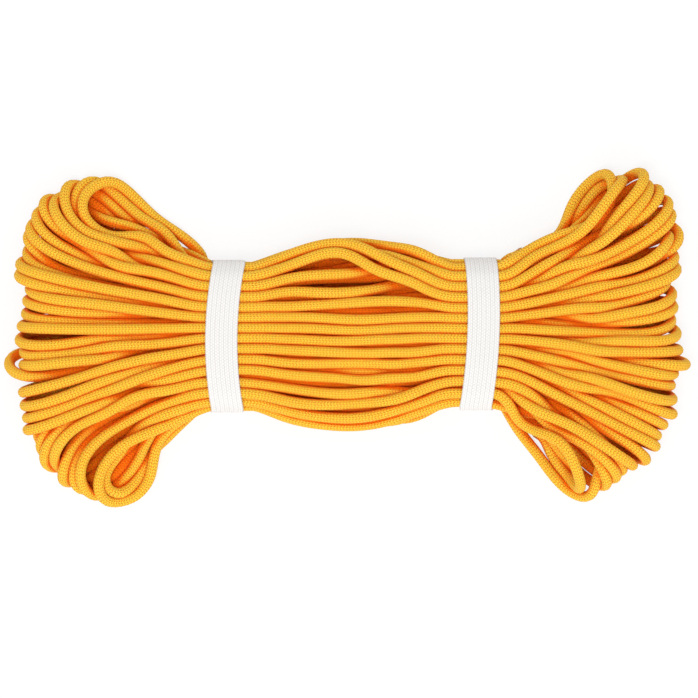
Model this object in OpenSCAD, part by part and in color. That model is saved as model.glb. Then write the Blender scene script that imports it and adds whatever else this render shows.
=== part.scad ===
// Hank of limp braided cord, held at its waist by two elastic bands.
// Lengths are in millimetres. The hank lies on z = 0 and is longest along X.
// Its turns stand on edge, side by side along Y, and open into a fan at each end.

/* [Cord] */
// Diameter of the cord
cord_d = 5; // [4.5:0.1:5.2]
// Turns of cord, side by side across the hank
loops = 24; // [20:2:24]
// Air between neighbouring turns in the waist
turn_gap = 0.55; // [0.55:0.05:0.8]
// Length of the melted plug on each cut end
seal_len = 2.6; // [2:0.1:4]

/* [Hank] */
// Length of the hank, from the end loops on one side to those on the other
hank_len = 319; // [310:1:340]
// Width of each fan, measured over its tips
fan_w = 157; // [150:1:160]
// Width of the slack stretch between the bands
bulge_w = 88; // [80:1:92]
// Length of the slack stretch that keeps this full width
bulge_len = 38; // [30:1:42]
// Height of an end loop, between the middles of its two strands
loop_h = 25; // [24:0.5:28]
// How much lower an inner turn passes under its outer neighbour
nest = 3.2; // [3:0.1:3.6]
// Rise of the bundle's upper side in the waist, from its edges to its middle
crown = 3; // [2:0.5:4]
// Greatest lean of the end loops, reached at the edges of a fan
lean = 38; // [30:1:40]

/* [Bands] */
// Width of the elastic band
band_w = 15; // [12:0.5:17]
// Thickness of the elastic band
band_t = 0.9; // [0.7:0.1:1.2]
// Distance of the left band from the middle of the hank
left_band_x = 59; // [57:0.5:61]
// Distance of the right band from the middle of the hank
right_band_x = 60.8; // [58:0.2:62]
// How far each band's middle bows out towards its fan
bow = 3; // [0:0.5:3.5]
// Lean of the left band, seen from above
left_lean = 1; // [0:0.5:2]
// Lean of the right band, seen from above
right_lean = 2.5; // [0:0.5:3]
// Length of the sewn overlap under each band
seam_len = 12; // [8:1:20]
// Free travel of a band along the straight waist, towards the middle
band_travel = 6; // [3:0.5:7]
// Clearance between a band and the cord
clear = 0.3; // [0.2:0.05:0.4]

/* [Hidden] */

// The tube has six sides and lies on one of them.
sides = 6;
cord_r = cord_d / 2;
flat_r = cord_r * cos(180 / sides);
// The cord is cut flat where it rests, by a tenth of its diameter.
rest_z = flat_r - 0.1 * cord_d;

// Waist: two staggered rows above two staggered rows.
half_step = (cord_d + turn_gap) / 2;
row_rise = sqrt(pow(cord_d + turn_gap, 2) - pow(half_step, 2));
edge_y = loops / 2 * half_step;
crown_r = (pow(edge_y, 2) + pow(crown, 2)) / (2 * crown);
low_outer_z = 2 * band_t + clear + flat_r;
low_inner_z = low_outer_z + row_rise;
top_inner_z = low_inner_z + cord_d + turn_gap;
bulge_side = (bulge_w - cord_d) / 2 - edge_y;

// The straight waist holds a band over its whole travel.
waist_margin = 0.5;
left_lean_x = edge_y * tan(left_lean);
right_lean_x = edge_y * tan(right_lean);
left_out = left_band_x + bow + band_w / 2 + left_lean_x / 4 + waist_margin;
left_in = left_band_x - band_w / 2 - left_lean_x - band_travel - waist_margin;
right_out = right_band_x + bow + band_w / 2 + right_lean_x / 4 + waist_margin;
right_in = right_band_x - band_w / 2 - right_lean_x - band_travel - waist_margin;
// Strands near the edge turn into the fan first, so those beside them keep their spacing.
fan_lead = 0.36;
bulge_lead = 0.16;

// Fan: the tips lie on a rounded square outline around a root on the hank's axis.
fan_root = 0.24 * hank_len;
fan_reach = hank_len / 2 - fan_root;
fan_half = fan_w / 2;
fan_power = 3.3;
fan_angle = 66;
fan_even = 0.85;
tip_scatter = 2;
land_len = 8;
// Both cut ends are tucked under the right fan. The first lies on the surface, inside the
// first end loop, and the last stops just outside the band.
first_tail_len = 9;
first_tail_in = 15;
first_tail_turn = 8;
last_tail_len = 9.2;
last_tail_turn = 31;
last_tail_rise = 0.5;

function unit(v) = v / norm(v);
function flat3(v) = [v[0], v[1], 0];

// Turns alternate between an inner and an outer row, and the pattern mirrors at the middle turn.
function is_outer(k) = abs(k) % 2 == (k < loops / 2 ? 1 : 0);
function place(k) = (k < loops / 2 ? k : k + 1) - loops / 2;

// Where a strand passes the waist, as [y, z].
function top_place(k) =
    let (a = place(k) * half_step / crown_r * 180 / PI,
         ring_r = crown_r + (is_outer(k) ? row_rise : 0))
    [ring_r * sin(a), top_inner_z - crown_r + crown + ring_r * cos(a)];
function low_place(k) = [place(k) * half_step, is_outer(k) ? low_outer_z : low_inner_z];

// Place of a turn in the fan, from -1 at one edge to 1 at the other.
function fan_share(j) = (j - (loops - 1.5) / 2) / (loops / 2);
function fan_tip(side, j) =
    let (q = fan_share(j),
         a = fan_angle * (fan_even * q + (1 - fan_even) * pow(q, 3)),
         reach = pow(pow(cos(a) / fan_reach, fan_power)
                     + pow(abs(sin(a)) / fan_half, fan_power), -1 / fan_power))
    [side * (fan_root + reach * cos(a)), reach * sin(a)];
// Loops don't end on one line: each reaches a little more or less than the next.
function scatter(side, k) = side * tip_scatter * sin(137.5 * k + 57.3 * side + 200);

// The end loop of turn k as [[point, side vector], ...] from its upper to its lower strand.
// At the right it joins the lower strand of the turn before.
function end_loop(side, k) =
    let (kb = side < 0 ? k : k - 1,
         j = side < 0 ? k : k - 0.5,
         waist_y = (top_place(k)[0] + low_place(max(kb, 0))[0]) / 2,
         root = [side * ((side < 0 ? left_out : right_out) + fan_lead * (edge_y - abs(waist_y))), waist_y],
         tip = fan_tip(side, j) + [scatter(side, k), 0],
         out = unit(tip - root),
         across = side * [-out[1], out[0]],
         turn_lean = lean * fan_share(j) * abs(fan_share(j)),
         high = loop_h - (is_outer(k) ? 0 : nest),
         low = is_outer(kb) ? 0 : nest,
         loop_r = (high - low) / 2,
         skew = (fan_tip(side, k - 0.25) - fan_tip(side, side < 0 ? k + 0.25 : k - 0.75)) * across / 2,
         core = tip - (loop_r + cord_r) * out,
         upper = lay(core, across, turn_lean, high, skew),
         lower = lay(core, across, turn_lean, low, -skew),
         centre = (upper + lower) / 2,
         up = (upper - lower) / 2)
    [for (a = [0 : 45 : 180]) [centre + cos(a) * up + sin(a) * loop_r * flat3(out), flat3(across)]];
// A point at height s on a loop that leans about its middle, moved sideways by shift.
function lay(core, across, a, s, shift) =
    let (off = sin(a) * (s - loop_h / 2) + shift)
    [core[0] + across[0] * off, core[1] + across[1] * off, rest_z + cos(a) * s];

// The lower strand comes down to the surface a little before its end loop.
function landing(side, k, len) =
    let (arc = end_loop(side, k), out = unit(flat3(arc[2][0] - (arc[0][0] + arc[4][0]) / 2)))
    [arc[4][0] - len * out + [0, 0, is_outer(side < 0 ? k : k - 1) ? 0 : nest / 2], arc[4][1]];

// A strand between the fans, from right to left.
function strand(at) =
    let (y = at[0],
         z = at[1],
         slack_y = y + bulge_side * sign(y) * pow(abs(y) / edge_y, 1.5),
         slack_z = z - low_outer_z + rest_z,
         edge = edge_y - abs(y))
    [for (p = [[right_out + fan_lead * edge, y, z],
               [right_in - bulge_lead * edge, y, z],
               [bulge_len / 2, slack_y, slack_z],
               [-bulge_len / 2, slack_y, slack_z],
               [-left_in + bulge_lead * edge, y, z],
               [-left_out - fan_lead * edge, y, z]]) [p, [0, 1, 0]]];
function reversed(list) = [for (i = [len(list) - 1 : -1 : 0]) list[i]];

// The whole cord, from its first end under the right fan to its last end there.
function cord_route() = concat(
    first_tail(),
    [for (k = [0 : loops - 1])
        each concat(k > 0 ? [landing(1, k, land_len)] : [],
                    reversed(end_loop(1, k)),
                    strand(top_place(k)),
                    end_loop(-1, k),
                    [landing(-1, k, land_len)],
                    reversed(strand(low_place(k))))],
    last_tail());

// A vector turned about Z by a degrees.
function turned(v, a) = [cos(a) * v[0] - sin(a) * v[1], sin(a) * v[0] + cos(a) * v[1], v[2]];
// The way in which the first end loop leaves the hank, and the way to which the last end points.
function first_out() =
    let (arc = end_loop(1, 0)) unit(flat3(arc[2][0] - (arc[0][0] + arc[4][0]) / 2));
function last_out() = turned([1, 0, 0], last_tail_turn);
// The first tail runs in from the foot of its loop, and the last one out from its strand.
function first_tail() =
    let (foot = end_loop(1, 0)[4], bend = foot[0] - first_tail_len * first_out())
    [[bend - first_tail_in * turned(first_out(), first_tail_turn), foot[1]], [bend, foot[1]]];
function last_tail() =
    let (y = low_place(loops - 1)[0], z = low_place(loops - 1)[1] + last_tail_rise)
    [for (s = [0.45, 1])
        [[right_out, y, z] + s * last_tail_len * last_out(), turned([0, 1, 0], last_tail_turn)]];

// Tube: one ring of corners at each point of the route, square to the route.
function route_dir(path, i) =
    i == 0 ? unit(path[1][0] - path[0][0])
    : i == len(path) - 1 ? unit(path[i][0] - path[i - 1][0])
    : unit(unit(path[i + 1][0] - path[i][0]) + unit(path[i][0] - path[i - 1][0]));
function ring(path, i) =
    let (t = route_dir(path, i),
         n = unit(path[i][1] - (path[i][1] * t) * t),
         b = cross(t, n))
    [for (s = [0 : sides - 1])
        let (p = path[i][0] + cord_r * (cos(s * 360 / sides) * n + sin(s * 360 / sides) * b))
        [p[0], p[1], max(p[2], 0)]];
function tube_points(path) = [for (i = [0 : len(path) - 1]) each ring(path, i)];
function tube_faces(count) = concat(
    [for (i = [0 : count - 2]) for (s = [0 : sides - 1])
        let (a = i * sides + s, b = i * sides + (s + 1) % sides)
        each [[a, b + sides, b], [a, a + sides, b + sides]]],
    [for (s = [1 : sides - 2]) [0, s, s + 1]],
    [for (s = [1 : sides - 2]) let (e = (count - 1) * sides) [e, e + s + 1, e + s]]);

// Least distance from the route's points, and the points midway between them, to its other stretches.
function to_stretch(p, a, b) =
    let (ab = b - a, s = max(0, min(1, (p - a) * ab / (ab * ab)))) norm(p - a - s * ab);
function least_gap(path) =
    let (last = len(path) - 2)
    min([for (i = [0 : last]) for (p = [path[i][0], (path[i][0] + path[i + 1][0]) / 2])
        min([for (j = [0 : last]) if (abs(j - i) > 2) to_stretch(p, path[j][0], path[j + 1][0])])]) - cord_d;

// The hank's box is centred on the origin.
route = cord_route();
tube = tube_points(route);
xs = [for (p = tube) p[0]];
ys = [for (p = tube) p[1]];
centre = [(min(xs) + max(xs)) / 2, (min(ys) + max(ys)) / 2, 0];

module rope() {
    echo(least_gap = least_gap(route), turns = loops, length_m = route_len(route) / 1000);
    color([0.96, 0.63, 0.16])
        translate(-centre)
            polyhedron(points = tube, faces = tube_faces(len(route)), convexity = 20);
}
function route_len(path) = sum_of([for (i = [1 : len(path) - 1]) norm(path[i][0] - path[i - 1][0])]);
function sum_of(list) = list * [for (v = list) 1];

// Melted plug on a cut end: sheath and core fused into one low dome, flat where it rests.
module sealed_end(at, out) {
    plug_r = flat_r - 0.05;
    color([0.72, 0.36, 0.08])
        translate(-centre)
            difference() {
                translate(at)
                    rotate([0, 90, atan2(out[1], out[0])])
                        rotate_extrude($fn = 32)
                            polygon([[0, 0], [plug_r, 0], [plug_r, 0.45 * seal_len],
                                     [0.9 * plug_r, 0.7 * seal_len], [0.6 * plug_r, 0.92 * seal_len],
                                     [0, seal_len]]);
                translate([at[0], at[1], -cord_d]) cube([4 * cord_d, 4 * cord_d, 2 * cord_d], center = true);
            }
}
module sealed_end_first() {
    sealed_end(route[0][0], -turned(first_out(), first_tail_turn));
}
module sealed_end_last() {
    sealed_end(route[len(route) - 1][0], last_out());
}

// Outline around the strands in the waist, seen along X.
module bundle_outline(space) {
    hull()
        for (k = [0 : loops - 1])
            for (p = [top_place(k), low_place(k)])
                translate(p) circle(r = cord_r + space / cos(30), $fn = sides);
}
// Section of a band: one layer all round, and the sewn overlap under it.
module band_section() {
    difference() {
        union() {
            offset(r = band_t, $fn = 32) bundle_outline(clear);
            translate([-seam_len / 2, 0]) square([seam_len, 1.5 * band_t]);
        }
        bundle_outline(clear);
    }
}
// Plan of a band, seen from above: its middle bows out to the left.
module band_plan() {
    reach = edge_y + 3 * cord_d;
    steps = 16;
    function edge(x) = [for (i = [0 : steps])
        let (y = reach * (2 * i / steps - 1))
        [x - bow * (1 - pow(y / edge_y, 2)), y]];
    polygon(concat(edge(-band_w / 2), reversed(edge(band_w / 2))));
}
// The walls run straight along the strands, and only the two edges bow and lean.
module band(x, lean_angle, flip) {
    tall = top_inner_z + row_rise + crown + 2 * cord_d;
    translate([x, 0, 0])
        intersection() {
            translate([-2 * band_w, 0, 0])
                rotate([90, 0, 90])
                    linear_extrude(height = 4 * band_w) band_section();
            translate([0, 0, -1])
                rotate(-lean_angle)
                    mirror([flip, 0, 0])
                        linear_extrude(height = tall) band_plan();
        }
}
module elastic_band_left() {
    color([0.95, 0.94, 0.92])
        translate(-centre) band(-left_band_x, left_lean, 0);
}
module elastic_band_right() {
    color([0.95, 0.94, 0.92])
        translate(-centre) band(right_band_x, right_lean, 1);
}

rope();
sealed_end_first();
sealed_end_last();
elastic_band_left();
elastic_band_right();
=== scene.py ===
import math

import bpy
import numpy as np
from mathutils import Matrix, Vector


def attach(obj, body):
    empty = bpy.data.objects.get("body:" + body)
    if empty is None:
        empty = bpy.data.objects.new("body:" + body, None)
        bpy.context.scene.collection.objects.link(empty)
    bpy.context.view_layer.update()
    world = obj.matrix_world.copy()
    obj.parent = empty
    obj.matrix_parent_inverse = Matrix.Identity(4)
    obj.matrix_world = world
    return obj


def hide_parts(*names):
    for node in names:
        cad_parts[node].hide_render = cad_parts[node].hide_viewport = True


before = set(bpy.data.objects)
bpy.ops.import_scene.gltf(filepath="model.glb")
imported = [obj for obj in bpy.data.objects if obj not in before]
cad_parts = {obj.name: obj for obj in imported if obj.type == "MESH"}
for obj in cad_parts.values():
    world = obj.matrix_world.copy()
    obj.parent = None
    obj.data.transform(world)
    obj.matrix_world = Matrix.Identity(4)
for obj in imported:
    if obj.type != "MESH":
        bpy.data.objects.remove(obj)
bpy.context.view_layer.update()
scene = bpy.context.scene
scene.view_settings.view_transform = "Standard"
print("hank: frame loaded")


# Camera, straight above the hank

view = {
    "height": 1.30,  # above the surface that the hank lies on
    "lookAt": (-0.0009, -0.0066, 0.020),
    "frameWidth": 0.3274,  # width of the picture at lookAt
    "sensor": 36.0,
}


def makeCamera():
    x, y, z = view["lookAt"]
    data = bpy.data.cameras.new("overheadCamera")
    data.sensor_width = view["sensor"]
    data.lens = view["sensor"] * (view["height"] - z) / view["frameWidth"]
    data.clip_start = 0.05
    data.clip_end = 20.0
    camera = bpy.data.objects.new("overheadCamera", data)
    camera.location = (x, y, view["height"])
    scene.collection.objects.link(camera)
    scene.camera = camera


makeCamera()


# The cord: one tube, laid by formula and then settled so that no turn lies in another

cord = {
    "diameter": 0.005,
    "length": 20.35,  # 20 m, and the little more that it is cut to
    "turns": 32,
    "rings": 8001,
    "sides": 12,
    "settleSteps": 240,
    "sink": 0.00001,  # how far it drops in each step
    "stiffness": 0.10,
    "pressed": 1.03,  # strands are soft and flatten a little where they lie together
    # around, cell, taken and buried shape the mask of painted shade where strands crowd
    "around": 0.016,  # how far off other strands still take up the view
    "cell": 0.009,  # size of the patches in which the top and underside of the pack are found
    "taken": 0.92,  # how much of the view each bit of another strand takes up
    "buried": 0.65,  # how much depth in the pack adds to that
    "seed": 3,
}
waist = {
    "leftBand": -0.0590,
    "rightBand": 0.0608,
    "outward": 0.0080,  # straight stretch on the fan's side of a band's middle
    "inward": 0.0140,  # and on the other side, which a sliding band needs
    "halfWidth": 0.0333,  # measured to the middles of the outer strands
    "low": 0.0050,
    "high": 0.0200,
    "crown": 0.0030,
    "bulge": 0.29,  # how much wider the slack stretch is
    "wander": (0.0009, 0.0012),  # how far a slack strand strays sideways, and up or down
    "rowHeights": (0.0215, 0.0165, 0.0215, 0.0165, 0.0125),
    "lowRowHeights": (0.0048, 0.0091, 0.0048, 0.0091, 0.0120),
}
# The tips of a fan lie on a rounded square around its root, with a corner of its own on each side
fan = {
    "root": 0.078,
    "left": {
        "low": {"reach": 0.0785, "half": 0.0845, "power": 2.8, "angle": 71.0},
        "high": {"reach": 0.0785, "half": 0.0795, "power": 3.6, "angle": 61.0},
        "lean": (56, -14, -62),  # degrees at the low edge, the middle and the high edge
        "turn": (4, 0, -4),
    },
    "right": {
        "low": {"reach": 0.0775, "half": 0.0835, "power": 2.5, "angle": 71.0},
        "high": {"reach": 0.0766, "half": 0.0808, "power": 5.2, "angle": 64.0},
        "lean": (40, -22, -18),
        "turn": (4, 0, 10),
    },
    "loopRadius": 0.0112,
    "leadIn": 0.016,
    "scatter": (-0.0020, 0.0025),
}
# Turns don't pass both bands in the same order: the place of a turn where it isn't its own number
places = {
    "right": {31: 27, 30: 25, 29: 31, 28: 30, 27: 29, 26: 28, 25: 26},
    "leftLow": {27: 31, 31: 30, 30: 29, 29: 28, 28: 27},
}
# How much a strand that crosses others rises over them, or sinks under them
crossings = {"high": {30: 0.0060, 31: 0.0075}, "low": {27: -0.004, 29: -0.003, 30: -0.003}}
crossFrom, crossTo = -0.008, 0.046
# Gaps between slack strands of the upper rows: middle, half length and width
slackGaps = (
    {"x": 0.000, "y": 0.0335, "long": 0.024, "wide": 0.0030},
    {"x": 0.003, "y": 0.0235, "long": 0.032, "wide": 0.0028},
    {"x": 0.016, "y": 0.0140, "long": 0.026, "wide": 0.0022},
    {"x": -0.036, "y": 0.0145, "long": 0.012, "wide": 0.0014},
)
# Turns whose end loop differs: farther out, along the fan, leaning, turned, wider
strayLoops = {
    ("left", 31): {"out": -0.001, "slide": 0.02, "lean": 6, "size": -0.001, "turn": 6, "bow": (-0.002, 0.005)},
    ("left", 30): {"out": 0.001, "lean": 4, "turn": 6, "bow": (-0.002, 0.003)},
    ("left", 29): {"out": 0.001, "turn": 3},
    ("left", 28): {"out": 0.001, "turn": 3},
    ("left", 27): {"out": 0.001, "slide": 0.02},
    ("left", 26): {"out": 0.003},
    ("left", 25): {"out": 0.003},
    ("left", 24): {"out": 0.002},
    ("left", 23): {"out": 0.001},
    ("left", 20): {"out": -0.003},
    ("left", 19): {"out": -0.002},
    ("left", 13): {"out": 0.0060, "slide": 0.075, "lean": -20},
    ("left", 12): {"out": 0.002},
    ("left", 11): {"out": 0.001},
    ("left", 10): {"out": 0.003},
    ("left", 9): {"out": 0.004},
    ("left", 8): {"out": -0.001, "lean": 30, "size": 0.001},
    ("left", 7): {"lean": 36, "size": 0.002},
    ("left", 6): {"out": 0.002, "lean": 38, "size": 0.002},
    ("left", 5): {"lean": 36, "size": 0.003},
    ("left", 4): {"out": 0.001, "lean": 26, "size": 0.001},
    ("left", 3): {"out": 0.001, "lean": 20},
    ("left", 2): {"lean": 10, "bow": (-0.001, -0.005)},
    ("left", 1): {"slide": -0.035, "aside": 0.002, "turn": -2, "size": -0.003, "bow": (-0.003, -0.005)},
    ("left", 0): {"slide": -0.045, "aside": 0.007, "turn": -2, "size": -0.004, "bow": (-0.004, -0.003)},
    ("right", 0): {"out": -0.004, "slide": 0.02, "lean": -10, "bow": (0.002, 0.003)},
    ("right", 1): {"slide": -0.045, "lean": 24, "size": 0.003, "bow": (-0.002, 0.005)},
    ("right", 3): {"out": -0.003},
    ("right", 4): {"out": -0.004},
    ("right", 5): {"out": -0.002},
    ("right", 6): {"out": -0.001},
    ("right", 7): {"slide": 0.02, "out": 0.001},
    ("right", 10): {"out": 0.003},
    ("right", 12): {"out": -0.001},
    ("right", 14): {"out": 0.004, "slide": -0.02, "size": -0.001, "lean": 12},
    ("right", 15): {"out": 0.003, "slide": -0.02, "size": -0.001, "lean": 12},
    ("right", 19): {"out": -0.003},
    ("right", 20): {"out": -0.003},
    ("right", 23): {"out": -0.002},
    ("right", 24): {"out": 0.001, "slide": -0.02, "lean": -30, "size": -0.002},
    ("right", 25): {"out": 0.003},
    ("right", 26): {"out": 0.003},
    ("right", 27): {"bow": (-0.002, -0.004)},
    ("right", 28): {"out": 0.001, "bow": (-0.005, -0.006)},
    ("right", 29): {"out": 0.005, "bow": (-0.008, -0.009)},
    ("right", 30): {"slide": 0.035, "aside": -0.003, "turn": -3, "bow": (-0.004, -0.009)},
    ("right", 31): {
        "out": 0.002,
        "slide": 0.12,
        "aside": -0.006,
        "turn": -5,
        "size": -0.003,
        "bow": (0.002, -0.008),
    },
}
radius = cord["diameter"] / 2
spacing = cord["length"] / (cord["rings"] - 1)


def unit(v):
    return v / np.maximum(np.linalg.norm(v, axis=-1, keepdims=True), 1e-12)


def squeezeSection(y, z):  # keeps strands inside the outline that a band allows
    half = waist["halfWidth"]
    top = waist["high"] + waist["crown"] * (1 - (y / half) ** 2)
    z = np.minimum(np.maximum(z, waist["low"]), top)
    edge = half - 0.006 * np.clip(np.abs(z - 0.0125) / 0.0085, 0, 1) ** 2.5
    return np.clip(y, -edge, edge), z


def packSection(seed, steps=600):  # where each strand passes a band, as (y, z)
    draw = np.random.default_rng(seed)
    turns = cord["turns"]
    count = 2 * turns
    row = np.arange(turns) % 5
    across = ((np.arange(turns) + 0.5) / turns * 2 - 1) * waist["halfWidth"]
    heights = np.concatenate([np.take(waist["rowHeights"], row), np.take(waist["lowRowHeights"], (row + 2) % 5)])
    spots = np.stack([np.tile(across, 2) + draw.normal(0, 0.0009, count), heights + draw.normal(0, 0.0010, count)], 1)
    start = spots.copy()
    others = 1 - np.eye(count)
    for step in range(steps):
        apart = spots[:, None] - spots[None]
        far = np.linalg.norm(apart, axis=-1) + np.eye(count)
        over = np.maximum(1.01 * cord["diameter"] - far, 0) * others
        spots = spots + 0.35 * (apart / far[..., None] * over[..., None]).sum(1) + 0.004 * (start - spots)
        spots[:, 0], spots[:, 1] = squeezeSection(spots[:, 0], spots[:, 1])
    return spots


def sideName(side):
    return "left" if side < 0 else "right"


def fanOutline(side, count=400):  # the line that the tips lie on, from the low edge to the high one
    shape = fan[sideName(side)]
    angles = np.radians(np.linspace(-shape["low"]["angle"], shape["high"]["angle"], count))
    points = []
    for a in angles:
        corner = shape["low"] if a < 0 else shape["high"]
        power = corner["power"]
        flat = (math.cos(a) / corner["reach"]) ** power + (abs(math.sin(a)) / corner["half"]) ** power
        points.append((side * (fan["root"] + math.cos(a) * flat ** (-1 / power)), math.sin(a) * flat ** (-1 / power)))
    return np.array(points)


def fanTip(side, share):  # share runs from -1 to 1, evenly along the outline
    outline = fanOutlines[side]
    along = np.concatenate([[0], np.cumsum(np.linalg.norm(np.diff(outline, axis=0), axis=1))])
    at = (share + 1) / 2 * along[-1]
    return np.array([np.interp(at, along, outline[:, 0]), np.interp(at, along, outline[:, 1])])


def bySide(values, share):  # between the values at the low edge, the middle and the high edge
    low, middle, high = values
    edge = high if share > 0 else low
    return middle + (edge - middle) * abs(share) ** 1.7


fanOutlines = {-1: fanOutline(-1), 1: fanOutline(1)}


def endLoop(side, place, draw):
    turns = cord["turns"]
    shape = fan[sideName(side)]
    share = (place - (turns - 1) / 2) / (turns / 2)
    stray = strayLoops.get((sideName(side), int(round(place))), {})
    root = np.array([side * 0.074, share * 0.030])
    tip = fanTip(side, share + stray.get("slide", 0))
    out = unit(tip - root)
    turn = math.radians(bySide(shape["turn"], share) + stray.get("turn", 0)) * side * math.copysign(1, share)
    out = np.array([math.cos(turn) * out[0] - math.sin(turn) * out[1], math.sin(turn) * out[0] + math.cos(turn) * out[1]])
    across = side * np.array([-out[1], out[0]])
    tip = tip + out * (draw.uniform(*fan["scatter"]) + stray.get("out", 0)) + across * stray.get("aside", 0)
    lean = math.radians(bySide(shape["lean"], share) + draw.normal(0, 6) + stray.get("lean", 0))
    loopRadius = fan["loopRadius"] + draw.uniform(-0.0012, 0.0012) + stray.get("size", 0)
    tip = tip - across * math.copysign(abs(share) ** 3 * abs(math.sin(lean)) * loopRadius, share)
    core = tip - out * (loopRadius + radius)
    centre = np.array([core[0], core[1], radius + loopRadius * math.cos(lean) + 0.001])
    up = np.array([across[0] * math.sin(lean), across[1] * math.sin(lean), math.cos(lean)]) * loopRadius
    ahead = np.array([out[0], out[1], 0]) * loopRadius
    arc = [centre + math.cos(a) * up + math.sin(a) * ahead for a in np.radians(np.arange(0, 181, 15))]
    back = -ahead / loopRadius * fan["leadIn"]
    feet = [arc[0] + back + np.array([0, 0, -0.001]), arc[-1] + back]
    exit = np.array([side * 0.070, share * waist["halfWidth"]])
    bows = []
    for foot, bow, height in zip(feet, stray.get("bow", (0, 0)), (0.017, 0.008)):
        if bow:
            half = 0.6 * foot[:2] + 0.4 * exit + math.copysign(1, share) * bow * across
            bows.append([np.array([half[0], half[1], height])])
        else:
            bows.append([])
    return bows[0] + [feet[0]] + arc + [feet[1]] + bows[1]


def placeOf(at, order):  # where a turn passes a band, counted from the low edge
    return places.get(order, {}).get(at, at)


def easeIn(x, start, end):
    share = min(max((x - start) / (end - start), 0), 1)
    return share * share * (3 - 2 * share)


def strandPoints(turn, level, left, right, draw):  # a strand between the fans, from right to left
    low = level == "low"
    lift = crossings[level].get(turn, 0)
    first = cord["turns"] if low else 0
    toLeft = placeOf(turn, "leftLow" if low else "left") + first
    toRight = placeOf(min(turn + 1, cord["turns"] - 1) if low else turn, "right") + first
    if low and turn == cord["turns"] - 1:
        toRight = cord["turns"] - 1 + first
    yLeft, zLeft = left[toLeft]
    yRight, zRight = right[toRight]
    points = [(waist["rightBand"] + waist["outward"], yRight, zRight), (waist["rightBand"], yRight, zRight)]
    points += [(waist["rightBand"] - waist["inward"] + 0.002, yRight, zRight)]
    phase = draw.uniform(0, 2 * math.pi, 2)
    pitch = draw.uniform(0.070, 0.130, 2)
    for x in np.linspace(0.036, -0.036, 9):
        share = easeIn(x, crossFrom, crossTo)
        y = (1 - share) * yLeft + share * yRight
        z = (1 - share) * zLeft + share * zRight - 0.0015
        wider = waist["bulge"] * min(abs(y) / waist["halfWidth"], 1) ** 0.5
        rise = 1 - (x / 0.047) ** 2
        if y > 0:
            wider *= 1 + 0.16 * math.exp(-(((x + 0.006) / 0.020) ** 2))
            rise = rise**1.1 if x < -0.003 else rise**0.58
        elif x < 0:
            rise = rise**0.75
        z += lift * math.exp(-(((x - (crossFrom + crossTo) / 2) / 0.022) ** 2))
        aside, above = np.sin(2 * math.pi * x / pitch + phase) * waist["wander"] * (1 - (x / 0.047) ** 2)
        points.append((x, y * (1 + wider * rise) + aside, max(z + above, radius)))
    points += [(waist["leftBand"] + waist["inward"] - 0.002, yLeft, zLeft)]
    points += [(waist["leftBand"], yLeft, zLeft), (waist["leftBand"] - waist["outward"], yLeft, zLeft)]
    if not low:
        points = [openGaps(p) for p in points]
    return [np.array(p) for p in points]


def openGaps(p):
    x, y, z = p
    shift = 0
    for gap in slackGaps:
        strength = math.exp(-(((x - gap["x"]) / gap["long"]) ** 4)) * math.exp(-abs(y - gap["y"]) / 0.010)
        shift += math.copysign(gap["wide"], y - gap["y"]) * strength
    return (x, y + shift, z)


def smoothLine(points, step=0.002):  # centripetal Catmull-Rom through the points
    points = np.asarray(points)
    ends = np.vstack([2 * points[0] - points[1], points, 2 * points[-1] - points[-2]])
    line = []
    for i in range(len(points) - 1):
        p0, p1, p2, p3 = ends[i : i + 4]
        gaps = [max(np.linalg.norm(b - a), 1e-6) ** 0.5 for a, b in ((p0, p1), (p1, p2), (p2, p3))]
        t1, t2, t3 = gaps[0], gaps[0] + gaps[1], sum(gaps)
        count = max(2, int(np.linalg.norm(p2 - p1) / step))
        t = np.linspace(t1, t2, count, endpoint=False)[:, None]
        a1 = (t1 - t) / t1 * p0 + t / t1 * p1
        a2 = (t2 - t) / (t2 - t1) * p1 + (t - t1) / (t2 - t1) * p2
        a3 = (t3 - t) / (t3 - t2) * p2 + (t - t2) / (t3 - t2) * p3
        b1 = (t2 - t) / t2 * a1 + t / t2 * a2
        b2 = (t3 - t) / (t3 - t1) * a2 + (t - t1) / (t3 - t1) * a3
        line.append((t2 - t) / (t2 - t1) * b1 + (t - t1) / (t2 - t1) * b2)
    line.append(points[-1:])
    return np.vstack(line)


def evenLine(line, count):
    along = np.concatenate([[0], np.cumsum(np.linalg.norm(np.diff(line, axis=0), axis=1))])
    at = np.linspace(0, along[-1], count)
    return np.stack([np.interp(at, along, line[:, k]) for k in range(3)], 1), along[-1]


def endPlace(node):  # middle of the face that the cord meets, and the way that the plug points
    corners = np.array([v.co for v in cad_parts[node].data.vertices])
    middle = (corners.min(0) + corners.max(0)) / 2
    flat = corners - middle
    way = np.linalg.svd(flat - flat.mean(0))[2][-1]
    way = unit(way * np.array([1, 1, 0]))
    along = flat @ way
    thin = 0.15 * (along.max() - along.min())
    ends = (along > along.max() - thin, along < along.min() + thin)
    width = [np.linalg.norm(flat[part] - way * along[part, None], axis=1).max() for part in ends]
    if width[0] > width[1]:  # the domed end is the narrower one
        way, along = -way, -along
    base = middle + way * along.min()
    base[2] = max(base[2], radius)
    return base, way


firstEnd, firstWay = endPlace("sealed_end_first")
lastEnd, lastWay = endPlace("sealed_end_last")


def cordRoute():
    draw = np.random.default_rng(cord["seed"])
    left, right = packSection(11), packSection(23)
    points = [firstEnd, firstEnd - 0.008 * firstWay]
    for turn in range(cord["turns"]):
        loop = endLoop(1, placeOf(turn, "right") - 0.25, draw)[::-1]
        points += loop[2:] if turn == 0 else loop
        points += strandPoints(turn, "high", left, right, draw)
        points += endLoop(-1, turn + 0.25, draw)
        points += strandPoints(turn, "low", left, right, draw)[::-1]
    points += [lastEnd - 0.003 * lastWay, lastEnd]
    return smoothLine(np.array(points))


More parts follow.
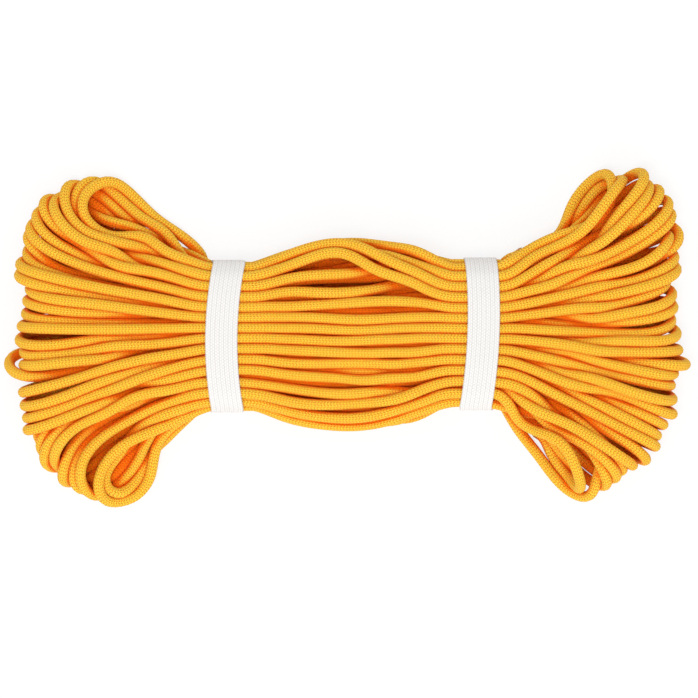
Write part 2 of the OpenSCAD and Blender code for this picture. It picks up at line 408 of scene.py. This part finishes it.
def nearPairs(line, reach, skip):  # points of different stretches that lie near each other
    cell = np.floor(line / reach).astype(np.int64)
    cell -= cell.min(0) - 1
    size = cell.max(0) + 3
    key = (cell[:, 0] * size[1] + cell[:, 1]) * size[2] + cell[:, 2]
    order = np.argsort(key, kind="stable")
    sortedKey = key[order]
    index = np.arange(len(line))
    first, second = [], []
    for dx in (-1, 0, 1):
        for dy in (-1, 0, 1):
            for dz in (-1, 0, 1):
                shift = (dx * size[1] + dy) * size[2] + dz
                if shift < 0:
                    continue
                start = np.searchsorted(sortedKey, key + shift, "left")
                count = np.searchsorted(sortedKey, key + shift, "right") - start
                i = np.repeat(index, count)
                within = np.arange(count.sum()) - np.repeat(np.cumsum(count) - count, count)
                j = order[np.repeat(start, count) + within]
                keep = j > i if shift == 0 else np.ones(len(j), bool)
                first.append(i[keep])
                second.append(j[keep])
    i, j = np.concatenate(first), np.concatenate(second)
    keep = (np.abs(i - j) > skip) & (((line[i] - line[j]) ** 2).sum(1) < reach * reach)
    return i[keep], j[keep]


def pushApart(line, i, j):
    apart = line[i] - line[j]
    far = np.sqrt((apart**2).sum(1))
    close = far < cord["diameter"]
    i, j, apart, far = i[close], j[close], apart[close], far[close]
    push = (0.5 * (cord["diameter"] - far) / np.maximum(far, 1e-6))[:, None] * apart
    count = len(line)
    share = 1 / np.maximum(np.bincount(i, minlength=count) + np.bincount(j, minlength=count), 1) ** 0.6
    for axis in range(3):
        move = np.bincount(i, push[:, axis], count) - np.bincount(j, push[:, axis], count)
        line[:, axis] += move * share


def holdByBands(line):
    for side, x in ((-1, waist["leftBand"]), (1, waist["rightBand"])):
        off = (line[:, 0] - x) * side
        held = (off > -waist["inward"]) & (off < waist["outward"])
        y, z = squeezeSection(line[held, 1], line[held, 2])
        line[held, 1] += 0.8 * (y - line[held, 1])
        line[held, 2] += 0.8 * (z - line[held, 2])


def keepLength(line):
    for start in (0, 1):
        a = line[start:-1:2]
        b = line[start + 1 :: 2]
        count = min(len(a), len(b))
        a, b = a[:count], b[:count]
        apart = b - a
        far = np.linalg.norm(apart, axis=1, keepdims=True)
        move = 0.5 * (far - spacing) / far * apart
        a += move
        b -= move


def settle(line, steps):
    skip = int(math.ceil(1.7 * cord["diameter"] / spacing))
    firstPoints, lastPoints = line[:2].copy(), line[-2:].copy()
    for step in range(steps):
        if step % 12 == 0:
            i, j = nearPairs(line, 1.28 * cord["diameter"], skip)
        line[:, 2] -= cord["sink"]
        bent = line[2:] - 2 * line[1:-1] + line[:-2]
        line[2:-2] -= cord["stiffness"] * (bent[2:] - 2 * bent[1:-1] + bent[:-2])
        for again in range(2):
            pushApart(line, i, j)
            line[:, 2] = np.maximum(line[:, 2], radius)
            holdByBands(line)
        for again in range(3):
            keepLength(line)
        line[:2], line[-2:] = firstPoints, lastPoints
    return line


def deepest(line):
    i, j = nearPairs(line, cord["diameter"], int(math.ceil(1.7 * cord["diameter"] / spacing)))
    far = np.linalg.norm(line[i] - line[j], axis=1)
    return (cord["diameter"] - far.min()) * 1000, (cord["diameter"] - far).mean() * 1000, len(far)


def carriedFrames(line):  # side vectors carried along the line without twist
    ahead = unit(np.gradient(line, axis=0))
    side = np.empty_like(line)
    now = unit(np.cross(ahead[0], (0.0, 0.0, 1.0)))
    for k in range(len(line)):
        now = now - ahead[k] * (now @ ahead[k])
        now = now / math.sqrt(now @ now)
        side[k] = now
    return ahead, side


def newMesh(name, points, faces, smooth=True):
    mesh = bpy.data.meshes.new(name)
    mesh.from_pydata([tuple(p) for p in points], [], faces)
    if smooth:
        mesh.polygons.foreach_set("use_smooth", np.ones(len(mesh.polygons), bool))
    mesh.update()
    piece = bpy.data.objects.new(name, mesh)
    scene.collection.objects.link(piece)
    return piece


def gridFaces(rows, columns, closed=True):
    i, j = np.meshgrid(np.arange(rows - 1), np.arange(columns if closed else columns - 1), indexing="ij")
    nextJ = (j + 1) % columns
    quads = np.stack([i * columns + j, i * columns + nextJ, (i + 1) * columns + nextJ, (i + 1) * columns + j], -1)
    return quads.reshape(-1, 4)


def buriedShare(line, rim):  # how deep each point of the surface lies in the pack, along the way it faces
    cells = np.floor(line[:, :2] / cord["cell"]).astype(int)
    cells -= cells.min(0)
    at = tuple(cells.T)
    high = np.full(cells.max(0) + 1, -1.0)
    low = np.full(cells.max(0) + 1, 1.0)
    np.maximum.at(high, at, line[:, 2])
    np.minimum.at(low, at, line[:, 2])
    facing = rim[:, :, 2]
    inside = np.where(facing > 0, (high[at] - line[:, 2])[:, None], (line[:, 2] - low[at])[:, None])
    return np.abs(facing) * np.clip(inside / (3 * cord["diameter"]), 0, 1)


def paintedShadeMaskOf(line, rim):  # share of the view from each point of the surface that other strands take up, used as the mask of painted shade
    sides = cord["sides"]
    first, second = nearPairs(line, cord["around"], int(math.ceil(1.7 * cord["diameter"] / spacing)))
    i, j = np.append(first, second), np.append(second, first)
    taken = np.zeros((len(line), sides))
    for start in range(0, len(i), 60000):
        at, by = i[start : start + 60000], j[start : start + 60000]
        gap = line[by][:, None] - line[at][:, None] - radius * rim[at]
        far = np.maximum(np.sqrt((gap**2).sum(2)), 1.7 * radius)
        share = cord["taken"] * radius * spacing * np.maximum((gap * rim[at]).sum(2), 0) / far**3
        for k in range(sides):
            taken[:, k] += np.bincount(at, share[:, k], len(line))
    taken += cord["buried"] * buriedShare(line, rim)
    soft = np.pad(taken, ((2, 2), (0, 0)), "edge")
    return np.clip((soft[:-4] + 2 * soft[1:-3] + 3 * soft[2:-2] + 2 * soft[3:-1] + soft[4:]) / 9, 0, 1)


def cordTube(line):
    sides = cord["sides"]
    ahead, side = carriedFrames(line)
    other = np.cross(ahead, side)
    angles = np.arange(sides) / sides * 2 * math.pi
    rim = np.cos(angles)[None, :, None] * side[:, None] + np.sin(angles)[None, :, None] * other[:, None]
    points = (line[:, None] + cord["pressed"] * radius * rim).reshape(-1, 3)
    quads = gridFaces(len(line), sides)
    faces = [tuple(q) for q in quads.tolist()]
    faces.append(tuple(range(sides))[::-1])
    last = (len(line) - 1) * sides
    faces.append(tuple(range(last, last + sides)))
    piece = newMesh("braided_cord", points, faces)
    # how much painted shade each point of the cord gets from the other strands round it
    paintedShadeMask = piece.data.attributes.new("paintedShadeMask", "FLOAT", "POINT")
    paintedShadeMask.data.foreach_set("value", paintedShadeMaskOf(line, rim).ravel().astype(np.float32))
    i, j = np.divmod(np.arange(len(quads)), sides)
    along = np.stack([i, i, i + 1, i + 1], 1) * spacing
    around = np.stack([j, j + 1, j + 1, j], 1) / sides
    addMap(piece, "cordMap", along, around, sides)
    rows = 36
    perRow = math.ceil(len(line) / rows)
    row, start = np.divmod(i, perRow)
    flatAlong = np.stack([start, start, start + 1, start + 1], 1) / perRow
    flatAround = (row[:, None] + 0.03 + 0.94 * around) / rows
    addMap(piece, "OFBake", flatAlong, flatAround, sides)
    return piece


def addMap(piece, name, u, v, sides):
    values = np.zeros((u.size + 2 * sides, 2), np.float32)
    values[: u.size, 0] = u.ravel()
    values[: v.size, 1] = v.ravel()
    layer = piece.data.uv_layers.new(name=name)
    layer.data.foreach_set("uv", values.ravel())


route = cordRoute()
line, routeLength = evenLine(route, cord["rings"])
print("cord: route of %.2f m laid" % routeLength)
line = settle(line, cord["settleSteps"])
worst, mean, count = deepest(line)
print("cord: settled, deepest overlap %.2f mm, mean %.2f mm over %d pairs" % (worst, mean, count))
braidedCord = cordTube(line)


# Elastic bands: each a strip that goes once round the strands and overlaps itself underneath

elastic = {
    "width": 0.015,
    "thickness": 0.0009,
    "overlap": 0.014,  # how far it lies on itself where it is sewn
    "clearance": 0.00015,
    "ribs": 7,
    "ribRise": 0.00014,
    "pick": 0.0009,  # pitch of the cross threads, which scallop the edges
    "edgeWave": 0.00016,
    "step": 0.00045,
    "leftBow": (0.0034, 0.016),  # how far its top is bowed outward, and how much it leans
    "rightBow": (0.0024, 0.040),
}
thread = {"thickness": 0.00028, "rise": 0.0001, "pitch": 0.0022, "rows": 3}


def strandHull(side, x):  # convex outline round the strands that a band passes, as (y, z)
    off = (line[:, 0] - x) * side
    near = line[(off > -waist["inward"]) & (off < waist["outward"])][:, 1:]
    near[:, 1] = np.maximum(near[:, 1], waist["low"])
    order = near[np.lexsort((near[:, 1], near[:, 0]))]
    hull = []
    for points in (order, order[::-1]):
        part = []
        for p in points:
            while len(part) > 1 and turnOf(part[-2], part[-1], p) <= 0:
                part.pop()
            part.append(p)
        hull += part[:-1]
    return np.array(hull)


def turnOf(a, b, c):
    return (b[0] - a[0]) * (c[1] - a[1]) - (b[1] - a[1]) * (c[0] - a[0])


def bandOutline(side, x):  # inner line of a band, from the middle of the underside and round
    hull = strandHull(side, x)
    angles = np.linspace(-math.pi / 2, 1.5 * math.pi, 720, endpoint=False)
    ways = np.stack([np.cos(angles), np.sin(angles)], 1)
    points = hull[(ways @ hull.T).argmax(1)] + ways * (radius + elastic["clearance"])
    low = points[:, 1] < 0.012
    start = np.where(low, np.abs(points[:, 0]), 1).argmin()
    points = np.vstack([points[start:], points[: start + 1]])
    count = int(np.linalg.norm(np.diff(points, axis=0), axis=1).sum() / elastic["step"])
    along = np.concatenate([[0], np.cumsum(np.linalg.norm(np.diff(points, axis=0), axis=1))])
    at = np.linspace(0, along[-1], count, endpoint=False)
    even = np.stack([np.interp(at, along, points[:, k]) for k in range(2)], 1)
    for again in range(30):
        even = 0.5 * even + 0.25 * (np.roll(even, 1, 0) + np.roll(even, -1, 0))
    return even, along[-1]


def bandPiece(side, x):
    outline, length = bandOutline(side, x)
    count = len(outline)
    extra = int(elastic["overlap"] / elastic["step"])
    ramp = int(0.004 / elastic["step"])
    index = np.arange(count + extra + 1) - extra // 2
    ahead = unit(np.roll(outline, -1, 0) - np.roll(outline, 1, 0))
    outward = np.stack([ahead[:, 1], -ahead[:, 0]], 1)
    spot = outline[index % count]
    out = outward[index % count]
    lift = np.clip((index - (count - extra // 2 - ramp)) / ramp, 0, 1)
    lift = lift * lift * (3 - 2 * lift) * (elastic["thickness"] + 0.00003)
    bow, lean = elastic[sideName(side) + "Bow"]
    height = np.clip((spot[:, 1] - 0.006) / 0.014, 0, 1)
    across = spot[:, 0] / 0.036
    shift = (side * bow * (0.45 - across**2) + lean * spot[:, 0]) * height
    along = index * elastic["step"]
    profile = bandProfile()
    wave = np.cos(along / elastic["pick"] * 2 * math.pi)
    points = np.zeros((len(index), len(profile), 3))
    for k, (u, rise, edge) in enumerate(profile):
        tall = lift + rise
        points[:, k, 0] = x + shift + u * elastic["width"] / 2 + math.copysign(edge, u) * elastic["edgeWave"] * wave
        points[:, k, 1] = spot[:, 0] + out[:, 0] * tall
        points[:, k, 2] = spot[:, 1] + out[:, 1] * tall
    rows, columns = points.shape[:2]
    faces = [tuple(q) for q in gridFaces(rows, columns).tolist()]
    faces.append(tuple(range(columns))[::-1])
    last = (rows - 1) * columns
    faces.append(tuple(range(last, last + columns)))
    piece = newMesh("woven_band_" + sideName(side), points.reshape(-1, 3), faces)
    i, j = np.divmod(np.arange(len(faces) - 2), columns)
    us = np.array([u for u, rise, edge in profile] + [profile[0][0]]) * elastic["width"] / 2
    addMap(piece, "weaveMap", np.stack([i, i, i + 1, i + 1], 1) * elastic["step"], us[np.stack([j, j + 1, j + 1, j], 1)], columns)
    return piece, (spot, out, lift, shift)


def bandProfile():  # round a cross section of the strip: place across, rise, share of the scalloped edge
    ribs = elastic["ribs"]
    profile = []
    for u in np.linspace(-0.97, 0.97, ribs * 8 + 1):
        ridge = abs(math.sin(ribs * math.pi * (u + 0.97) / 1.94)) ** 0.6
        profile.append((u, elastic["thickness"] - elastic["ribRise"] * (1 - ridge), 0))
    profile += [(0.99, elastic["thickness"] * 0.80, 1), (1.0, elastic["thickness"] * 0.5, 1), (0.99, elastic["thickness"] * 0.2, 1)]
    profile += [(u, 0.0, 0) for u in np.linspace(0.97, -0.97, 13)]
    profile += [(-0.99, elastic["thickness"] * 0.2, 1), (-1.0, elastic["thickness"] * 0.5, 1), (-0.99, elastic["thickness"] * 0.80, 1)]
    return profile[::-1]


def sewing(side, x, strip):  # zigzag rows of thread over the overlap
    spot, out, lift, shift = strip
    count = len(spot)
    extra = int(elastic["overlap"] / elastic["step"])
    middle = count - 1 - extra / 2
    paths = []
    for row in range(thread["rows"]):
        first = middle + (row - 1) * extra * 0.32
        path = []
        steps = int(elastic["width"] * 0.86 / thread["pitch"] * 8)
        for k in range(steps + 1):
            across = (k / steps - 0.5) * 0.86 * elastic["width"]
            zig = abs((k / 8) % 1 - 0.5) * 4 - 1
            at = first + zig * 0.0010 / elastic["step"]
            y = np.interp(at, np.arange(count), spot[:, 0])
            z = np.interp(at, np.arange(count), spot[:, 1])
            down = out[int(at)]
            tall = elastic["thickness"] * 2 + thread["rise"] * (0.2 + 0.8 * math.sin(math.pi * ((k / 4) % 1)))
            path.append((x + across, y + down[0] * tall, z + down[1] * tall))
        paths.append(np.array(path))
    return threadTubes("band_thread_" + sideName(side), paths, thread["thickness"] / 2)


def threadTubes(name, paths, half, sides=6):
    points, faces = [], []
    for path in paths:
        ahead, normal = carriedFrames(path)
        other = np.cross(ahead, normal)
        angles = np.arange(sides) / sides * 2 * math.pi
        rim = np.cos(angles)[None, :, None] * normal[:, None] + np.sin(angles)[None, :, None] * other[:, None]
        first = len(points)
        points += (path[:, None] + half * rim).reshape(-1, 3).tolist()
        faces += [tuple(q) for q in (gridFaces(len(path), sides) + first).tolist()]
        faces.append(tuple(range(first, first + sides))[::-1])
        last = first + (len(path) - 1) * sides
        faces.append(tuple(range(last, last + sides)))
    return newMesh(name, points, faces)


bands = {}
for side, x, node, body in (
    (-1, waist["leftBand"], "elastic_band_left", "band_left"),
    (1, waist["rightBand"], "elastic_band_right", "band_right"),
):
    band, strip = bandPiece(side, x)
    stitching = sewing(side, x, strip)
    for piece in (band, stitching):
        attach(piece, body)
    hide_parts(node)
    bands[side] = (band, stitching)
print("bands: woven round the strands")


# Sealed ends: the cord's cut ends, melted into hard plugs

seal = {"length": 0.0026, "rings": 26, "around": 48, "lump": 0.00016, "seeds": (21, 22)}


def sealedEnd(name, node, base, way, seed):
    draw = np.random.default_rng(seed)
    side = unit(np.cross(way, (0.0, 0.0, 1.0)))
    other = np.cross(side, way)
    waves = [(int(draw.integers(2, 6)), draw.uniform(0, 6.28), draw.uniform(0.3, 1.0)) for k in range(5)]
    points = []
    for ring in range(seal["rings"]):
        share = ring / (seal["rings"] - 1)
        bulge = radius * (1.02 + 0.05 * math.sin(math.pi * min(share * 2.2, 1)))
        size = bulge * math.sqrt(max(1 - max((share - 0.42) / 0.58, 0) ** 2.2, 0.0004))
        depth = seal["length"] * (share if share < 0.42 else 0.42 + 0.58 * math.sin((share - 0.42) / 0.58 * math.pi / 2))
        for k in range(seal["around"]):
            angle = k / seal["around"] * 2 * math.pi
            lump = sum(strength * math.sin(turns * angle + phase + 3 * share) for turns, phase, strength in waves)
            reach = size + seal["lump"] * lump * 0.4 * math.sin(math.pi * share)
            p = base + way * (depth - 0.0002) + side * reach * math.cos(angle) + other * reach * math.sin(angle)
            points.append((p[0], p[1], max(p[2], 0.00005)))
    faces = [tuple(q) for q in gridFaces(seal["rings"], seal["around"]).tolist()]
    faces.append(tuple(range(seal["around"]))[::-1])
    last = (seal["rings"] - 1) * seal["around"]
    faces.append(tuple(range(last, last + seal["around"])))
    piece = newMesh(name, points, faces)
    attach(piece, "hank")
    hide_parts(node)
    return piece


plugs = [
    sealedEnd("melted_end_first", "sealed_end_first", firstEnd, firstWay, seal["seeds"][0]),
    sealedEnd("melted_end_last", "sealed_end_last", lastEnd, lastWay, seal["seeds"][1]),
]
print("sealed ends: melted")


# Materials


def socket(group, name, kind, way, value=None):
    made = group.interface.new_socket(name=name, in_out=way, socket_type="NodeSocket" + kind)
    if value is not None:
        made.default_value = value
    return made


class Tree:
    def __init__(self, tree):
        self.tree = tree

    def put(self, kind, **sockets):
        made = self.tree.nodes.new(kind)
        for key, value in sockets.items():
            if hasattr(made, key):
                setattr(made, key, value)
            else:
                made.inputs[key.replace("_", " ")].default_value = value
        return made

    def join(self, a, b):
        self.tree.links.new(a, b)

    def math(self, operation, *values):
        made = self.tree.nodes.new("ShaderNodeMath")
        made.operation = operation
        for k, value in enumerate(values):
            if isinstance(value, (int, float)):
                made.inputs[k].default_value = value
            else:
                self.join(value, made.inputs[k])
        return made.outputs[0]

    def blend(self, first, second, share):  # from one colour to another
        made = self.put("ShaderNodeMix", data_type="RGBA")
        made.inputs[6].default_value = (*first, 1)
        made.inputs[7].default_value = (*second, 1)
        self.join(share, made.inputs[0])
        return made.outputs[2]


def knitGroup():
    group = bpy.data.node_groups.new("knitSheath", "ShaderNodeTree")
    socket(group, "Along", "Float", "INPUT")
    socket(group, "Around", "Float", "INPUT")
    socket(group, "Stitch length", "Float", "INPUT", 0.0013)
    socket(group, "Wales", "Float", "INPUT", 8.0)
    socket(group, "Slant", "Float", "INPUT", 0.7)
    socket(group, "Height", "Float", "OUTPUT")
    socket(group, "Valley", "Float", "OUTPUT")
    t = Tree(group)
    given = t.put("NodeGroupInput")
    told = t.put("NodeGroupOutput")
    column = t.math("FRACT", t.math("MULTIPLY", given.outputs["Around"], given.outputs["Wales"]))
    fromMiddle = t.math("MULTIPLY", t.math("ABSOLUTE", t.math("SUBTRACT", column, 0.5)), 2.0)
    rows = t.math("DIVIDE", given.outputs["Along"], given.outputs["Stitch length"])
    phase = t.math("ADD", rows, t.math("MULTIPLY", fromMiddle, given.outputs["Slant"]))
    wave = t.math("COSINE", t.math("MULTIPLY", phase, 2 * math.pi))
    leg = t.math("MULTIPLY_ADD", wave, 0.5, 0.5)  # 1 on a yarn, 0 between two
    legMiddle = t.math("MULTIPLY_ADD", t.math("COSINE", t.math("MULTIPLY", fromMiddle, 2 * math.pi)), -0.5, 0.5)
    between = t.math("POWER", t.math("SUBTRACT", 1.0, leg), 1.4)
    valley = t.math("MULTIPLY", between, t.math("MULTIPLY_ADD", legMiddle, 0.75, 0.25))
    height = t.math("SUBTRACT", 1.0, valley)
    t.join(height, told.inputs["Height"])
    t.join(valley, told.inputs["Valley"])
    return group


def newMaterial(name):
    material = bpy.data.materials.new(name)
    material.use_nodes = True
    tree = Tree(material.node_tree)
    shader = material.node_tree.nodes["Principled BSDF"]
    return material, tree, shader


cordFinish = {
    "colour": (1.0, 0.60, 0.049),
    # painted shade in the gaps between the yarns
    "paintedGapShade": (0.92, 0.24, 0.004),
    "paintedPackShade": (1.0, 0.19, 0.0),  # painted shade, tinted red as if light passed from strand to strand, where strands lie together or deep in the pack
    "narrow": 4.0,
    "roughness": 0.72,
    "sheen": 0.1,
    "stitch": 0.0015,
    "wales": 7.0,
    "slant": 0.8,
    "depth": 0.85,  # how much painted shade darkens the gaps between the yarns
    "relief": 0.00055,
    "glow": 0.2,  # light that goes through the yarns and comes out redder
    "glowDepth": 0.0015,
}
elasticFinish = {
    "colour": (0.86, 0.845, 0.825),
    # painted shade between the threads and in the grooves between ribs
    "paintedGapShade": (0.56, 0.54, 0.52),
    "roughness": 0.78,
    "sheen": 0.3,
    "pick": 0.0014,
    "end": 0.00104,  # pitch of the lengthwise threads inside a rib
    "relief": 0.00012,
}
sealFinish = {"colour": (0.50, 0.17, 0.014), "burnt": (0.16, 0.05, 0.010), "roughness": 0.36}


def cordMaterial(knit):
    material, t, shader = newMaterial("cordSheath")
    shader.inputs["Roughness"].default_value = cordFinish["roughness"]
    shader.inputs["Sheen Weight"].default_value = cordFinish["sheen"]
    shader.inputs["Sheen Roughness"].default_value = 0.5
    shader.inputs["Sheen Tint"].default_value = (1.0, 0.62, 0.22, 1.0)
    shader.inputs["Specular IOR Level"].default_value = 0.15
    shader.inputs["Subsurface Weight"].default_value = cordFinish["glow"]
    shader.inputs["Subsurface Radius"].default_value = (1.0, 0.25, 0.05)
    shader.inputs["Subsurface Scale"].default_value = cordFinish["glowDepth"]
    place = t.put("ShaderNodeUVMap", uv_map="cordMap")
    parts = t.put("ShaderNodeSeparateXYZ")
    t.join(place.outputs[0], parts.inputs[0])
    stitches = t.put("ShaderNodeGroup", node_tree=knit)
    t.join(parts.outputs[0], stitches.inputs["Along"])
    t.join(parts.outputs[1], stitches.inputs["Around"])
    stitches.inputs["Stitch length"].default_value = cordFinish["stitch"]
    stitches.inputs["Wales"].default_value = cordFinish["wales"]
    stitches.inputs["Slant"].default_value = cordFinish["slant"]
    spread = t.put("ShaderNodeTexNoise", Scale=60.0, Detail=3.0)
    coords = t.put("ShaderNodeTexCoord")
    t.join(coords.outputs["Object"], spread.inputs["Vector"])
    # painted shade in the gaps between the yarns, with a random mottle in tone added on top
    shade = t.math("MULTIPLY", stitches.outputs["Valley"], cordFinish["depth"])
    shade = t.math("MULTIPLY_ADD", t.math("SUBTRACT", spread.outputs[0], 0.5), 0.16, shade)
    # painted shade, tinted red, in crevices and deep in the pack, where other strands hide the view
    paintedShadeMask = t.put("ShaderNodeAttribute", attribute_name="paintedShadeMask")
    inward = t.math("POWER", paintedShadeMask.outputs["Fac"], cordFinish["narrow"])
    whole = t.blend(cordFinish["colour"], cordFinish["paintedPackShade"], inward)
    t.join(t.blend(cordFinish["colour"], cordFinish["paintedGapShade"], shade), whole.node.inputs[6])
    t.join(whole, shader.inputs["Base Color"])
    bump = t.put("ShaderNodeBump", Strength=1.0, Distance=cordFinish["relief"])
    t.join(stitches.outputs["Height"], bump.inputs["Height"])
    t.join(bump.outputs["Normal"], shader.inputs["Normal"])
    return material


def elasticMaterial():
    material, t, shader = newMaterial("wovenElastic")
    shader.inputs["Roughness"].default_value = elasticFinish["roughness"]
    shader.inputs["Sheen Weight"].default_value = elasticFinish["sheen"]
    shader.inputs["Sheen Roughness"].default_value = 0.5
    shader.inputs["Specular IOR Level"].default_value = 0.3
    place = t.put("ShaderNodeUVMap", uv_map="weaveMap")
    parts = t.put("ShaderNodeSeparateXYZ")
    t.join(place.outputs[0], parts.inputs[0])
    along, across = parts.outputs[0], parts.outputs[1]
    halfPick = t.math("DIVIDE", along, elasticFinish["pick"])
    ends = t.math("DIVIDE", across, elasticFinish["end"])
    columns = t.math("FLOOR", ends)
    shifted = t.math("MULTIPLY_ADD", columns, 0.5, halfPick)
    picks = t.math("MULTIPLY_ADD", t.math("COSINE", t.math("MULTIPLY", shifted, 2 * math.pi)), 0.5, 0.5)
    threads = t.math("MULTIPLY_ADD", t.math("COSINE", t.math("MULTIPLY", ends, 2 * math.pi)), -0.5, 0.5)
    height = t.math("MULTIPLY", t.math("POWER", picks, 0.5), t.math("POWER", threads, 0.5))
    place = t.math("DIVIDE", t.math("ADD", across, elastic["width"] * 0.485), elastic["width"] * 0.97 / elastic["ribs"])
    fromRib = t.math("ABSOLUTE", t.math("SUBTRACT", t.math("FRACT", place), 0.5))
    groove = t.math("POWER", t.math("MULTIPLY", fromRib, 2.0), 6.0)
    # painted shade between the threads and in the grooves between the ribs
    shade = t.math("MULTIPLY_ADD", t.math("SUBTRACT", 1.0, height), 0.5, t.math("MULTIPLY", groove, 0.32))
    t.join(t.blend(elasticFinish["colour"], elasticFinish["paintedGapShade"], shade), shader.inputs["Base Color"])
    bump = t.put("ShaderNodeBump", Strength=1.0, Distance=elasticFinish["relief"])
    t.join(height, bump.inputs["Height"])
    t.join(bump.outputs["Normal"], shader.inputs["Normal"])
    return material


def sealMaterial():
    material, t, shader = newMaterial("meltedEnd")
    shader.inputs["Roughness"].default_value = sealFinish["roughness"]
    coords = t.put("ShaderNodeTexCoord")
    lumps = t.put("ShaderNodeTexNoise", Scale=900.0, Detail=4.0)
    t.join(coords.outputs["Object"], lumps.inputs["Vector"])
    t.join(t.blend(sealFinish["colour"], sealFinish["burnt"], t.math("POWER", lumps.outputs[0], 2.0)), shader.inputs["Base Color"])
    bump = t.put("ShaderNodeBump", Strength=0.6, Distance=0.0002)
    t.join(lumps.outputs[0], bump.inputs["Height"])
    t.join(bump.outputs["Normal"], shader.inputs["Normal"])
    return material


def threadMaterial():
    material, t, shader = newMaterial("sewingThread")
    shader.inputs["Roughness"].default_value = 0.7
    coords = t.put("ShaderNodeTexCoord")
    twist = t.put("ShaderNodeTexWave", Scale=900.0, Distortion=1.0)
    t.join(coords.outputs["Object"], twist.inputs["Vector"])
    # painted shade in the grooves of the twist
    t.join(t.blend(elasticFinish["paintedGapShade"], elasticFinish["colour"], twist.outputs["Fac"]), shader.inputs["Base Color"])
    return material


braidedCord.data.materials.append(cordMaterial(knitGroup()))
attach(braidedCord, "hank")
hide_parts("rope")
woven, sewn, melted = elasticMaterial(), threadMaterial(), sealMaterial()
for band, stitching in bands.values():
    band.data.materials.append(woven)
    stitching.data.materials.append(sewn)
for plug in plugs:
    plug.data.materials.append(melted)
print("materials: placed")


# Floor, lights and world

studio = {
    "key": {"at": (-0.2, -0.35, 1.6), "size": 0.6, "power": 10.0},
    "fill": {"at": (0.3, -1.2, 1.2), "size": 1.2, "power": 6.0},
    "world": 0.77,
    "floor": (0.93, 0.93, 0.93),
}


def areaLight(name, at, size, power):
    data = bpy.data.lights.new(name, "AREA")
    data.shape = "DISK"
    data.size = size
    data.energy = power
    lamp = bpy.data.objects.new(name, data)
    lamp.location = at
    lamp.rotation_euler = Vector([-c for c in at]).to_track_quat("-Z", "Y").to_euler()
    scene.collection.objects.link(lamp)


areaLight("keyLight", studio["key"]["at"], studio["key"]["size"], studio["key"]["power"])
areaLight("fillLight", studio["fill"]["at"], studio["fill"]["size"], studio["fill"]["power"])
world = bpy.data.worlds.new("studioWorld")
scene.world = world
world.use_nodes = True
t = Tree(world.node_tree)
background = world.node_tree.nodes["Background"]
path = t.put("ShaderNodeLightPath")
seen = t.math("MAXIMUM", t.math("MAXIMUM", path.outputs["Is Camera Ray"], path.outputs["Is Glossy Ray"]), path.outputs["Is Transmission Ray"])
t.join(t.math("MULTIPLY_ADD", seen, 1 - studio["world"], studio["world"]), background.inputs["Strength"])
background.inputs["Color"].default_value = (1, 1, 1, 1)

floor = newMesh("floor", [(-2, -2, -0.0003), (2, -2, -0.0003), (2, 2, -0.0003), (-2, 2, -0.0003)], [(0, 1, 2, 3)])
material, t, shader = newMaterial("paleFloor")
shader.inputs["Base Color"].default_value = (0.93, 0.93, 0.93, 1)
shader.inputs["Roughness"].default_value = 0.9
glow = t.put("ShaderNodeEmission", Strength=1.0)
glow.inputs["Color"].default_value = (1, 1, 1, 1)
both = t.put("ShaderNodeMixShader")
path = t.put("ShaderNodeLightPath")
seen = t.math("MAXIMUM", t.math("MAXIMUM", path.outputs["Is Camera Ray"], path.outputs["Is Glossy Ray"]), path.outputs["Is Transmission Ray"])
t.join(t.math("MULTIPLY", seen, 0.8), both.inputs[0])
t.join(shader.outputs[0], both.inputs[1])
t.join(glow.outputs[0], both.inputs[2])
t.join(both.outputs[0], material.node_tree.nodes["Material Output"].inputs["Surface"])
floor.data.materials.append(material)

start = line[0]
